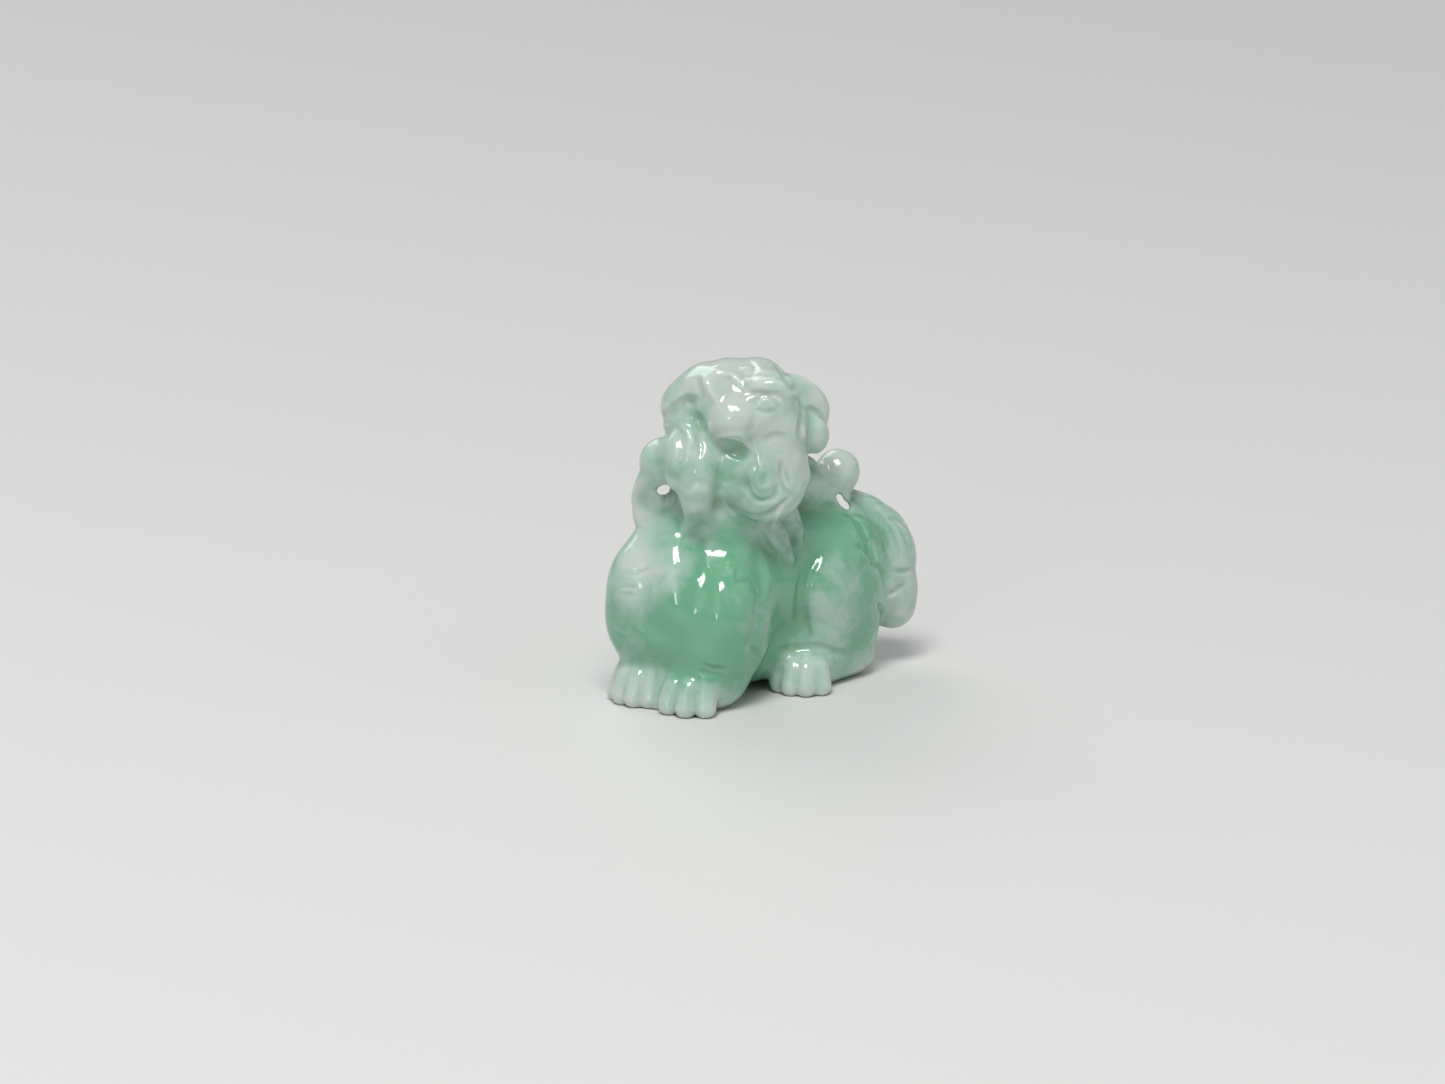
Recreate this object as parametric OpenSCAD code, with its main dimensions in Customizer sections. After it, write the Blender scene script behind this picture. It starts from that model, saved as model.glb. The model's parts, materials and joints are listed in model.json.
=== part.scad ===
// Crouching guardian beast with its head turned to its left, carved from one jadeite pebble.
// Each node is one carved mass of the stone. NODES lists them from the deepest outwards, and each mass is cut
// away wherever a deeper one already fills the space, so neighbours meet face to face.
// +Z is up, the beast faces -Y, its left flank is on +X, and it stands on Z = 0.

/* [Figure] */
// Height from the ground to the top of the crest, in millimetres
figure_height = 41; // [34:1:60]
// How far the head is turned to the beast's left, in degrees
head_turn = 40; // [34:1:46]

/* [Masses] */
// Thickness of the barrel of the body
barrel_width = 13.4; // [12.8:0.2:14.4]
// Height of the left shoulder
shoulder_height = 16.2; // [15.4:0.2:17]
// Height of a haunch
haunch_height = 19.4; // [18:0.2:20]
// Length of a forepaw's palm
palm_length = 8.4; // [7.8:0.1:9]
// Width of one toe
toe_width = 2.4; // [2.2:0.1:2.6]
// Thickness of the tail at its fullest
tail_width = 6.4; // [5.8:0.1:7]
// Diameter of the pearl
pearl_diameter = 5.2; // [4.8:0.1:5.6]

/* [Fineness] */
// Facets round a large mass
large_facets = 24; // [16:2:24]
// Facets round a small lock, toe or bead
small_facets = 14; // [12:2:14]

/* [Hidden] */
NODES = [
    "torso", "rump", "neck", "chest",
    "shoulder_left", "shoulder_right", "foreleg_left", "foreleg_right",
    "forepaw_left", "foretoes_left", "forepaw_right", "foretoes_right",
    "haunch_left", "haunch_right", "thigh_left", "thigh_right",
    "hind_foot_left", "hind_toes_left", "hind_foot_right", "hind_toes_right",
    "skull", "jaw", "cheek_left", "cheek_right", "nose", "nose_bridge",
    "brow_left", "brow_right", "eyes", "ear_left", "ear_right",
    "ear_lobe_left", "ear_lobe_right", "crest_tufts", "beard_curl", "beard_lock",
    "lingzhi_centre", "lingzhi_left_lobe", "lingzhi_low_lobe", "lingzhi_stem", "ribbon",
    "mane_locks_left", "mane_locks_right", "mane_locks_back",
    "tail_upper_lock", "tail_lower_lock", "tail_end_curl", "tail_side_curl",
    "pearl", "pearl_seat"
];

// Colours of the stone
icy = [0.80, 0.87, 0.83];
pale_green = [0.68, 0.82, 0.75];
apple_green = [0.48, 0.73, 0.60];

// Every place and size below is in millimetres on a figure of this height
drawn_height = 40.35;
// Brings the origin under the middle of the whole figure
drawn_shift = [-1.34, -2.53, 0];
// Middle of the skull, which everything on the head is measured from
skull_at = [2.6, -2.8, 30.6];
// How far the right forepaw is ahead of the left one
right_step = 1.4;
toes_a_paw = 4;

// An egg-shaped mass: its full size along X, Y and Z, then turned, then put in place
module egg(at, size, turn = [0, 0, 0], fn = small_facets) {
    hull() translate(at) rotate(turn) scale(size / 2) sphere(r = 1, $fn = fn);
}

module big_egg(at, size, turn = [0, 0, 0]) egg(at, size, turn, large_facets);

// A tapered lock that runs through round beads of the given widths
module lock(points, widths, fn = small_facets) {
    for (i = [0 : len(points) - 2]) {
        hull() {
            translate(points[i]) sphere(d = widths[i], $fn = fn);
            translate(points[i + 1]) sphere(d = widths[i + 1], $fn = fn);
        }
    }
}

// Masses on the turned head, measured from the middle of the skull with the face towards -Y
module on_head() {
    translate(skull_at) rotate([0, 0, head_turn]) children();
}

// Toes fanned round the front of a palm, the middle ones longest, each curling from its knuckle to the ground
module toes(palm_at, reach, height, fan, turn) {
    for (i = [0 : toes_a_paw - 1]) {
        off_middle = i - (toes_a_paw - 1) / 2;
        ahead = reach - 0.3 * abs(off_middle);
        root = [0, 2.4 - ahead, height - 0.6 * toe_width];
        knuckle = [0, 0.3 - ahead, height - 0.85 * toe_width];
        tip = [0, -ahead - 0.7, 0.45 * toe_width];
        translate([palm_at[0], palm_at[1], 0])
            rotate([0, 0, off_middle * fan + turn])
                lock([root, knuckle, tip], [toe_width, 1.06 * toe_width, toe_width]);
    }
}

module body_mass(name) {
    if (name == "torso") {
        lock([[0, -5, 12.7], [0.2, 2, 12.6], [0.3, 6, 12.7], [0.3, 9.5, 13]],
            [barrel_width, barrel_width, barrel_width - 0.6, barrel_width - 0.6], large_facets);
        lock([[0, -4.6, 5.8], [0.3, 9, 5.8]], [0.76 * barrel_width, 0.76 * barrel_width], large_facets);
    }
    if (name == "rump") big_egg([0.8, 9.3, 14.4], [12.6, 17.5, 14.8], [-12, 0, 0]);
    if (name == "neck") big_egg([-0.4, -3.6, 22.2], [11.6, 12.8, 12.6], [-8, 0, 0]);
    if (name == "chest") big_egg([-0.9, -9, 12.8], [11.6, 12.2, 18], [-18, -6, 0]);
    if (name == "shoulder_left") big_egg([4, -7, 10.8], [9.8, 11.6, shoulder_height], [-22, -10, 0]);
    if (name == "shoulder_right") big_egg([-3.6, -10.4, 13.4], [10.2, 12, shoulder_height + 2.6], [-22, 8, 0]);
    if (name == "haunch_left") big_egg([3.5, 10.7, 10.3], [10, 14, haunch_height], [-10, 0, 0]);
    if (name == "haunch_right") big_egg([-3.5, 10.7, 10.3], [10, 14, haunch_height], [-10, 0, 0]);
    if (name == "thigh_left") egg([6.1, 7, 9.4], [5.8, 6.8, 12.8], [-6, 0, 0]);
    if (name == "thigh_right") egg([-5.7, 7, 9.4], [5.8, 6.8, 12.8], [-6, 0, 0]);
}

module leg_mass(name) {
    left_palm = [2.6, -9, 2.6];
    right_palm = [-3.6, -9.4 - right_step, 2.6];
    left_hind_palm = [5, 5, 2.4];
    right_hind_palm = [-4.7, 5, 2.4];
    if (name == "foreleg_left") lock([[4, -6.2, 8.8], [3.5, -8.2, 4.4]], [8.6, 8]);
    if (name == "foreleg_right") lock([[-3.9, -7.8, 8.6], [-3.7, -9.4, 4.2]], [8.4, 7.6]);
    if (name == "forepaw_left") egg(left_palm, [8.6, palm_length, 6.4], [4, 0, 10]);
    if (name == "forepaw_right") egg(right_palm, [7, palm_length, 6.2], [6, 0, 0]);
    if (name == "foretoes_left") toes(left_palm, 5, 5, 24, 14);
    if (name == "foretoes_right") toes(right_palm, 4.5, 5, 20, 8);
    if (name == "hind_foot_left") {
        lock([[4.9, 12.4, 2.7], [5, 8.8, 2.6], left_hind_palm], [5.4, 5.4, 6]);
    }
    if (name == "hind_foot_right") {
        lock([[-4.9, 12.4, 2.7], [-5, 8.8, 2.6], right_hind_palm], [5.4, 5.4, 6]);
    }
    if (name == "hind_toes_left") toes(left_hind_palm, 3.8, 4.8, 24, 34);
    if (name == "hind_toes_right") toes(right_hind_palm, 3.8, 4.8, 24, -8);
}

module head_mass(name) {
    on_head() {
        if (name == "skull") big_egg([0.2, 0.6, 0.8], [15.4, 12, 16.2]);
        if (name == "jaw") egg([-1.2, -3.1, -4], [8.6, 7, 6.4]);
        if (name == "cheek_left") egg([4.4, -3.3, 1.6], [7, 5.8, 7.6], [0, 12, 0]);
        if (name == "cheek_right") egg([-6.5, -1.6, 0.8], [4.8, 5.2, 6.4]);
        if (name == "nose") egg([-0.8, -5.6, 3.5], [5.2, 5.2, 4.4]);
        if (name == "nose_bridge") egg([-2.9, -4.4, 6.2], [3.8, 5, 6.8], [24, 16, 0]);
        if (name == "brow_left") egg([3.4, -3.8, 7], [6.8, 5, 4.2], [0, 8, 8]);
        if (name == "brow_right") egg([-6.1, -1.6, 5.1], [8.2, 6.2, 5.4], [0, -34, -8]);
        if (name == "eyes") {
            egg([3, -4.6, 4.9], [3, 2.4, 2.2]);
            egg([-6.2, -3.6, 3.9], [2.4, 2.6, 2.4]);
        }
        if (name == "ear_left") egg([6.7, 2.2, 3.9], [6.2, 3.8, 8.8], [0, -24, 24]);
        if (name == "ear_right") egg([-6, 3.4, 2.4], [5.4, 3.6, 8], [0, 24, -24]);
        if (name == "ear_lobe_left") egg([7.6, 1.2, 0.5], [4.9, 4.8, 5.6]);
        if (name == "ear_lobe_right") egg([-6.8, 3.4, -0.6], [4.6, 4.8, 5.4]);
        if (name == "crest_tufts") {
            for (tuft = [[-4.4, -1.8, 7.4, 3.8], [-1.9, -1.4, 8, 3.8], [1.7, -0.4, 7.9, 5.6]])
                egg([tuft[0], tuft[1], tuft[2]], [tuft[3], 6.4, 3.4], [10, 0, 0]);
        }
        if (name == "beard_curl") egg([2.9, -3.4, -4.2], [9.4, 6.4, 9.4], [0, -14, 0]);
        if (name == "beard_lock") lock([[5.9, -1.6, -1], [6.4, -2, -3.6], [6, -2.4, -6]], [3, 3.4, 2.2]);
    }
}

module lingzhi_mass(name) {
    on_head() {
        if (name == "lingzhi_centre") egg([-5.3, -4.8, -1.9], [7, 5, 7.8], [0, 8, 0]);
        if (name == "lingzhi_left_lobe") egg([-8.9, -3.2, -2.2], [6, 5, 6], [0, -20, 14]);
        if (name == "lingzhi_low_lobe") egg([-4.7, -5.4, -6.2], [4.2, 4, 7.2], [10, -6, 0]);
        if (name == "lingzhi_stem") lock([[-6.4, -4.2, 2.8], [-5.7, -5.2, 1], [-5, -6, -1.2]], [2.2, 2.6, 2.6]);
        if (name == "ribbon") lock([[-9.9, -3, -4], [-11, -2.8, -6.8], [-11.1, -2.2, -9.2]], [4, 3.6, 3]);
    }
}

module mane_mass(name) {
    if (name == "mane_locks_left") {
        lock([[3.8, -1.6, 22.8], [4.4, -0.4, 19.8], [4.8, 0.8, 16.8]], [4, 3.6, 2.4]);
        lock([[3.6, 1.4, 23.2], [4.1, 2.6, 20.6], [4.6, 3.6, 18.2]], [3.6, 3.4, 2.4]);
    }
    if (name == "mane_locks_right") {
        lock([[-3.6, -1.8, 22.8], [-4, -0.6, 19.8], [-4.4, 0.6, 16.8]], [4, 3.6, 2.4]);
        lock([[-2.8, 1.2, 23], [-3.6, 2.4, 20.6], [-4.2, 3.4, 18.2]], [3.6, 3.4, 2.4]);
    }
    if (name == "mane_locks_back") {
        for (side = [-1 : 1]) {
            lock([
                    [2.4 * side - 0.8, 1.8 * side + 1.2, 35.6],
                    [2.6 * side - 1.2, 1.9 * side + 1.8, 31.6],
                    [2.7 * side - 1.2, 1.8 * side + 1.8, 27.4],
                    [2.6 * side - 0.8, 1.6 * side + 3.6, 23.6],
                    [2.7 * side - 0.6, 1.4 * side + 5.8, 21.2]
                ],
                [3, 4.4, 4.6, 4, 2.4]);
        }
    }
}

module tail_mass(name) {
    if (name == "tail_upper_lock") {
        lock([[2.6, 13.8, 20.4], [3.1, 16, 18.4], [3.8, 18, 15.8], [4.2, 18.9, 13.2]],
            [2.6, 4.4, tail_width * 0.94, tail_width]);
    }
    if (name == "tail_lower_lock") {
        lock([[4.2, 18.6, 12], [4.5, 19.2, 9.4]], [tail_width * 0.9, tail_width * 0.92]);
    }
    if (name == "tail_end_curl") egg([4.6, 18.9, 7], [5.6, 6, 5.6]);
    if (name == "tail_side_curl") lock([[5.8, 15.6, 12.4], [6.3, 16.2, 10.6], [6.2, 16.4, 9]], [2.4, 3, 2.8]);
    if (name == "pearl") egg([3.3, 11.3, 24.3], [pearl_diameter, pearl_diameter, pearl_diameter]);
    if (name == "pearl_seat") lock([[3, 10.8, 21.8], [3, 7.8, 23], [3.2, 4.6, 25.6]], [4.2, 4.8, 4.8]);
}

// The uncut mass that a node starts from
module mass(name) {
    body_mass(name);
    leg_mass(name);
    head_mass(name);
    lingzhi_mass(name);
    mane_mass(name);
    tail_mass(name);
}

// The flat that the feet are ground to
module ground() {
    translate([-30, -40, -6]) cube([60, 80, 6]);
}

// A node of the stone: its mass, less the ground and every mass that lies deeper
module stone(name, colour) {
    depth = search([name], NODES)[0];
    color(colour) scale(figure_height / drawn_height) translate(drawn_shift) difference() {
        mass(name);
        ground();
        for (deeper = [0 : 1 : depth - 1]) mass(NODES[deeper]);
    }
}

module torso() stone("torso", apple_green);
module rump() stone("rump", apple_green);
module neck() stone("neck", pale_green);
module chest() stone("chest", apple_green);
module shoulder_left() stone("shoulder_left", apple_green);
module shoulder_right() stone("shoulder_right", apple_green);
module foreleg_left() stone("foreleg_left", apple_green);
module foreleg_right() stone("foreleg_right", apple_green);
module forepaw_left() stone("forepaw_left", icy);
module foretoes_left() stone("foretoes_left", icy);
module forepaw_right() stone("forepaw_right", icy);
module foretoes_right() stone("foretoes_right", icy);
module haunch_left() stone("haunch_left", apple_green);
module haunch_right() stone("haunch_right", apple_green);
module thigh_left() stone("thigh_left", apple_green);
module thigh_right() stone("thigh_right", apple_green);
module hind_foot_left() stone("hind_foot_left", pale_green);
module hind_toes_left() stone("hind_toes_left", icy);
module hind_foot_right() stone("hind_foot_right", pale_green);
module hind_toes_right() stone("hind_toes_right", icy);
module skull() stone("skull", pale_green);
module jaw() stone("jaw", pale_green);
module cheek_left() stone("cheek_left", pale_green);
module cheek_right() stone("cheek_right", pale_green);
module nose() stone("nose", icy);
module nose_bridge() stone("nose_bridge", icy);
module brow_left() stone("brow_left", icy);
module brow_right() stone("brow_right", icy);
module eyes() stone("eyes", pale_green);
module ear_left() stone("ear_left", icy);
module ear_right() stone("ear_right", icy);
module ear_lobe_left() stone("ear_lobe_left", pale_green);
module ear_lobe_right() stone("ear_lobe_right", pale_green);
module crest_tufts() stone("crest_tufts", icy);
module beard_curl() stone("beard_curl", pale_green);
module beard_lock() stone("beard_lock", pale_green);
module lingzhi_centre() stone("lingzhi_centre", pale_green);
module lingzhi_left_lobe() stone("lingzhi_left_lobe", pale_green);
module lingzhi_low_lobe() stone("lingzhi_low_lobe", pale_green);
module lingzhi_stem() stone("lingzhi_stem", pale_green);
module ribbon() stone("ribbon", icy);
module mane_locks_left() stone("mane_locks_left", pale_green);
module mane_locks_right() stone("mane_locks_right", pale_green);
module mane_locks_back() stone("mane_locks_back", pale_green);
module tail_upper_lock() stone("tail_upper_lock", pale_green);
module tail_lower_lock() stone("tail_lower_lock", pale_green);
module tail_end_curl() stone("tail_end_curl", icy);
module tail_side_curl() stone("tail_side_curl", icy);
module pearl() stone("pearl", icy);
module pearl_seat() stone("pearl_seat", icy);

torso();
rump();
neck();
chest();
shoulder_left();
shoulder_right();
foreleg_left();
foreleg_right();
forepaw_left();
foretoes_left();
forepaw_right();
foretoes_right();
haunch_left();
haunch_right();
thigh_left();
thigh_right();
hind_foot_left();
hind_toes_left();
hind_foot_right();
hind_toes_right();
skull();
jaw();
cheek_left();
cheek_right();
nose();
nose_bridge();
brow_left();
brow_right();
eyes();
ear_left();
ear_right();
ear_lobe_left();
ear_lobe_right();
crest_tufts();
beard_curl();
beard_lock();
lingzhi_centre();
lingzhi_left_lobe();
lingzhi_low_lobe();
lingzhi_stem();
ribbon();
mane_locks_left();
mane_locks_right();
mane_locks_back();
tail_upper_lock();
tail_lower_lock();
tail_end_curl();
tail_side_curl();
pearl();
pearl_seat();
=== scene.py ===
"""Polished jadeite figurine of a crouching guardian beast, on a pale floor in soft studio light.

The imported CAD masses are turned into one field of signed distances, which is softened, blended and then
worked with strokes the way a carver works the stone. The surface is cut back out of that field in pieces.
Lengths inside the sculpting are in millimetres; the finished meshes are in metres, in the row frame.
"""
import json
import math

import bpy
import numpy as np
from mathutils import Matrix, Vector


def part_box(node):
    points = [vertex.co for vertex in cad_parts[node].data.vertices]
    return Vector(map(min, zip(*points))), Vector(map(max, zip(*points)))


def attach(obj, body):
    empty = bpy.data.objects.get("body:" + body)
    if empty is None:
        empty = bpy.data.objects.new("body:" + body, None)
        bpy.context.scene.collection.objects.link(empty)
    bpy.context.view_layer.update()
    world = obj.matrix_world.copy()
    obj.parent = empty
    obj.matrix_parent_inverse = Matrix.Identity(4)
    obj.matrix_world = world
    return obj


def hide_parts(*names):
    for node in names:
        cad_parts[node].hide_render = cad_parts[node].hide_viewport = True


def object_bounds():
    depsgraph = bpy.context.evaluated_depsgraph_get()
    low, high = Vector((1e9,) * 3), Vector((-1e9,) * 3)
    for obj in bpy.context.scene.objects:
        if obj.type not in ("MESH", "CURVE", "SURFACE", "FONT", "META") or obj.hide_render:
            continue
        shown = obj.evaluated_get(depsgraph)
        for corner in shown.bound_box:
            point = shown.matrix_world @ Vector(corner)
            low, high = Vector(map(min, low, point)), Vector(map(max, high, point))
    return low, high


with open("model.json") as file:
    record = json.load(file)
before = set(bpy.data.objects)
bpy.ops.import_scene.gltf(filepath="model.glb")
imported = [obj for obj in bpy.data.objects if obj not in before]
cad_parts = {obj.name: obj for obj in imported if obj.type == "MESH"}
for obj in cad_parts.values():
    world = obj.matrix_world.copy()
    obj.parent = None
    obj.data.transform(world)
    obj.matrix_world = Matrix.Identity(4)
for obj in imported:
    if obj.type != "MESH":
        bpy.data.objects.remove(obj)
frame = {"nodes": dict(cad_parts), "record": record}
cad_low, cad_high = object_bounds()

import openvdb as vdb
from mathutils import Quaternion, Vector

MM = 0.001
# side of one cell of the block, in millimetres, and how many cells deep a mass's distances are known
VOXEL = 0.2
BAND = int(3.2 / VOXEL)
# spare room round the stone
MARGIN = 2.4
# what facets and softening take off a mass
FACET_LOSS = 0.12
# how far each piece blends into the next
JOIN = 0.35
# distance over which the greens of two masses mingle
MINGLE = 0.9
# how wide a neighbourhood tells whether a place lies in a hollow, for the painted shade in hollows
SHADE_HOLLOW_REACH = 0.8
# how far before and behind its sheet a stroke looks for the stone
SIGHT = 40
# a stroke is lifted where the surface drops away by more than this
JUMP = 1.2
# room round a tool for its rounded edge
EDGE = 2.0
# middle of the sheets over the face and over the nape, from the top of the skull
FACE_MIDDLE = [0.2, -0.6, -9.0]
NAPE_MIDDLE = [-1.0, 0, -9.0]
# how far the sheet over the flank hangs below the one over the face
FLANK_DROP = 18.7
# the photograph's viewing angle, in degrees
VIEW_AZIMUTH = 48
VIEW_ELEVATION = 15.5

# ---- the stone's parts: how soft each mass is, and how green its stone is --------------------------------

# piece: (how far its masses blend into each other, how much each is softened, how much the piece is trimmed
# to make up for the blending, its CAD nodes)
PIECES = {
    "body": (0.9, 0.7, 0.0, [
        "torso", "rump", "neck", "chest", "shoulder_left", "shoulder_right", "foreleg_left", "foreleg_right",
        "forepaw_left", "forepaw_right", "haunch_left", "haunch_right", "thigh_left", "thigh_right",
        "hind_foot_left", "hind_foot_right"]),
    "toes": (0.16, 0.1, 0.0, ["foretoes_left", "foretoes_right", "hind_toes_left", "hind_toes_right"]),
    "head": (0.9, 0.5, 0.35, [
        "skull", "jaw", "cheek_left", "cheek_right", "nose", "nose_bridge", "brow_left", "brow_right",
        "eyes", "crest_tufts"]),
    "ears": (0.3, 0.3, 0.25, ["ear_left", "ear_right", "ear_lobe_left", "ear_lobe_right"]),
    "beard": (0.4, 0.4, 0.0, ["beard_curl", "beard_lock"]),
    "lingzhi": (0.6, 0.4, 0.2, ["lingzhi_centre", "lingzhi_left_lobe", "lingzhi_low_lobe", "lingzhi_stem"]),
    "ribbon": (0.3, 0.3, 0.1, ["ribbon"]),
    "mane": (0.7, 0.4, 0.2, ["mane_locks_left", "mane_locks_right", "mane_locks_back"]),
    "tail": (0.5, 0.4, 0.0, ["tail_upper_lock", "tail_lower_lock", "tail_end_curl", "tail_side_curl"]),
    "pearl": (0.2, 0.2, 0.0, ["pearl"]),
    "pearl_seat": (0.4, 0.3, 0.0, ["pearl_seat"]),
}
# how green each slot's stone is, from 0 for clear to 1 for apple green
GREENNESS = {"apple_green_jadeite": 1.0, "pale_green_jadeite": 0.35, "icy_jadeite": 0.12}
SLOT_OF = {part["node"]: part["material_slot"] for part in frame["record"]["subparts"]}


# ---- the block of stone ----------------------------------------------------------------------------------

low = np.floor((np.array(cad_low) / MM - MARGIN) / VOXEL).astype(int)
high = np.ceil((np.array(cad_high) / MM + MARGIN) / VOXEL).astype(int)
SHAPE = tuple(high - low + 1)
FAR = BAND * VOXEL


def soften(values, sigma):
    """values after a Gaussian blur of sigma millimetres."""
    reach = int(math.ceil(2.5 * sigma / VOXEL))
    if reach < 1:
        return values
    offsets = np.arange(-reach, reach + 1)
    weights = np.exp(-0.5 * (offsets * VOXEL / sigma) ** 2)
    weights /= weights.sum()
    for axis in range(3):
        pads = [(reach, reach) if a == axis else (0, 0) for a in range(3)]
        padded = np.pad(values, pads, mode="edge")
        blurred = np.zeros_like(values)
        for weight, start in zip(weights, range(2 * reach + 1)):
            window = [slice(None)] * 3
            window[axis] = slice(start, start + values.shape[axis])
            blurred += np.float32(weight) * padded[tuple(window)]
        values = blurred
    return values


def node_field(name, softness):
    """Signed distance to a CAD node, in millimetres, over its own window of the block."""
    mesh = frame["nodes"][name].data
    mesh.calc_loop_triangles()
    points = np.empty(len(mesh.vertices) * 3, np.float32)
    mesh.vertices.foreach_get("co", points)
    points = points.reshape(-1, 3) / MM
    triangles = np.empty(len(mesh.loop_triangles) * 3, np.int32)
    mesh.loop_triangles.foreach_get("vertices", triangles)
    grid = vdb.FloatGrid.createLevelSetFromPolygons(
        points.astype(np.float32), triangles=triangles.reshape(-1, 3).astype(np.uint32),
        transform=vdb.createLinearTransform(voxelSize=VOXEL), halfWidth=float(BAND))
    first = np.maximum(np.floor(points.min(0) / VOXEL).astype(int) - BAND, low)
    last = np.minimum(np.ceil(points.max(0) / VOXEL).astype(int) + BAND, high)
    values = np.empty(tuple(last - first + 1), np.float32)
    grid.copyToArray(values, ijk=tuple(int(i) for i in first))
    window = tuple(slice(a, b + 1) for a, b in zip(first - low, last - low))
    return window, soften(values, softness) - FACET_LOSS


def blend(fields, reach):
    """Smooth union of (window, values) fields over the whole block."""
    total = np.full(SHAPE, math.exp(-FAR / reach), np.float32)
    for window, values in fields:
        total[window] += np.exp(-values / reach)
    return -reach * np.log(total)


def model_masses():
    """Each piece's field, and the block's greenness."""
    fields = {}
    green = np.zeros(SHAPE, np.float32)
    weight = np.full(SHAPE, 1e-6, np.float32)
    for piece, (reach, softness, trim, nodes) in PIECES.items():
        parts = []
        for node in nodes:
            window, values = node_field(node, softness)
            parts.append((window, values))
            share = np.exp(-values / MINGLE)
            weight[window] += share
            green[window] += share * GREENNESS[SLOT_OF[node]]
        fields[piece] = soften(blend(parts, reach), softness) + trim
    return fields, green / weight


def share_out(fields):
    """How far each place lies outside each piece's share of the stone.

    A share ends half way to the nearest other piece.
    """
    nearest = np.full(SHAPE, FAR, np.float32)
    second = nearest.copy()
    for field in fields.values():
        np.minimum(second, np.maximum(nearest, field), out=second)
        np.minimum(nearest, field, out=nearest)
    shares = {}
    for name, field in fields.items():
        shares[name] = (field - np.where(field <= nearest, second, nearest)) / 2
    return shares


def cut_piece(beyond):
    """The stone inside one share. Its edge dips under its neighbours, so the joins show no gap."""
    dip, overlap = 0.3, 0.6
    sunk = STONE + dip * np.clip(beyond, 0, None) ** 2
    return np.maximum(sunk, beyond - overlap)


def sample(values, points):
    """Trilinear samples of a block field at points in millimetres."""
    spot = np.clip(points / VOXEL - low, 0, np.array(SHAPE) - 1.001)
    cell = spot.astype(int)
    part = (spot - cell).astype(np.float32)
    out = np.zeros(len(points), np.float32)
    for corner in np.ndindex(2, 2, 2):
        share = np.prod(np.where(corner, part, 1 - part), axis=1)
        out += share * values[tuple((cell + corner).T)]
    return out


def slope(values, points):
    """Gradient of a block field at points."""
    out = np.empty((len(points), 3), np.float32)
    for axis in range(3):
        step = np.zeros(3)
        step[axis] = VOXEL
        out[:, axis] = (sample(values, points + step) - sample(values, points - step)) / (2 * VOXEL)
    return out


def surface(values):
    """(points, quads) of the field's surface, drawn on to it exactly."""
    near = np.argwhere(values < 0)
    first, last = near.min(0) - 3, near.max(0) + 4
    block = values[tuple(slice(max(a, 0), b) for a, b in zip(first, last))]
    grid = vdb.FloatGrid(FAR)
    grid.transform = vdb.createLinearTransform(voxelSize=VOXEL)
    corner = low + np.maximum(first, 0)
    grid.copyFromArray(np.ascontiguousarray(block, np.float32), ijk=tuple(int(i) for i in corner))
    points, quads = grid.convertToQuads(0.0)
    points = points.astype(float)
    for _ in range(3):
        tilt = slope(values, points)
        step = sample(values, points) / np.maximum((tilt ** 2).sum(1), 0.2)
        points -= np.clip(step, -VOXEL, VOXEL)[:, None] * tilt
    a, b, c = (points[quads[:, i]] for i in (0, 1, 2))
    if (np.cross(b - a, c - a) * slope(values, (a + c) / 2)).sum() < 0:
        quads = quads[:, ::-1]
    return points, quads


def direction(azimuth, elevation):
    """The way from the figurine to a viewer or a lamp at the given angle, in degrees."""
    a, e = math.radians(azimuth), math.radians(elevation)
    return np.array([math.sin(a) * math.cos(e), -math.cos(a) * math.cos(e), math.sin(e)])


class Canvas:
    """A sheet held before the stone: a stroke drawn on it lands on the surface behind.

    Points on it are millimetres to the right of its middle and above it, as seen from the given angle.
    A mirrored sheet swaps right and left.
    """

    def __init__(self, middle, azimuth, elevation, mirror=1):
        turn = math.radians(azimuth)
        self.back = direction(azimuth, elevation)
        self.right = np.array([math.cos(turn), math.sin(turn), 0.0]) * mirror
        self.up = np.cross(self.back, self.right) * mirror
        self.middle = np.array(middle, float)

    def moved(self, right, up):
        """The same sheet, slid to the right and up."""
        other = Canvas(self.middle + right * self.right + up * self.up, 0, 0)
        other.back, other.right, other.up = self.back, self.right, self.up
        return other

    def land(self, points):
        """Where points of the sheet meet the stone, and the outward normals there."""
        points = np.atleast_2d(points)
        steps = np.arange(-SIGHT, SIGHT, VOXEL)
        start = self.middle + points[:, :1] * self.right + points[:, 1:2] * self.up
        along = start[:, None, :] - steps[None, :, None] * self.back
        depth = sample(STONE, along.reshape(-1, 3)).reshape(len(points), -1)
        hit = np.where((depth < 0).any(1), (depth < 0).argmax(1), depth.argmin(1))
        spots = along[np.arange(len(points)), hit]
        for _ in range(3):
            tilt = slope(STONE, spots)
            tilt /= np.linalg.norm(tilt, axis=1, keepdims=True) + 1e-9
            spots = spots - sample(STONE, spots)[:, None] * tilt
        return spots, tilt


def curve(points, spacing=0.3):
    """A smooth path through a few points, and how far along it each place is, from 0 to 1."""
    points = np.atleast_2d(np.array(points, float))
    if len(points) == 1:
        return points, np.array([0.5])
    ends = np.vstack([2 * points[0] - points[1], points, 2 * points[-1] - points[-2]])
    path = []
    for p0, p1, p2, p3 in zip(ends, ends[1:], ends[2:], ends[3:]):
        count = max(2, int(np.linalg.norm(p2 - p1) / spacing))
        t = np.linspace(0, 1, count, endpoint=False)[:, None]
        path.append(0.5 * (2 * p1 + (p2 - p0) * t + (2 * p0 - 5 * p1 + 4 * p2 - p3) * t ** 2
                           + (3 * p1 - p0 - 3 * p2 + p3) * t ** 3))
    path = np.vstack(path + [points[-1:]])
    return path, np.linspace(0, 1, len(path))


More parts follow.
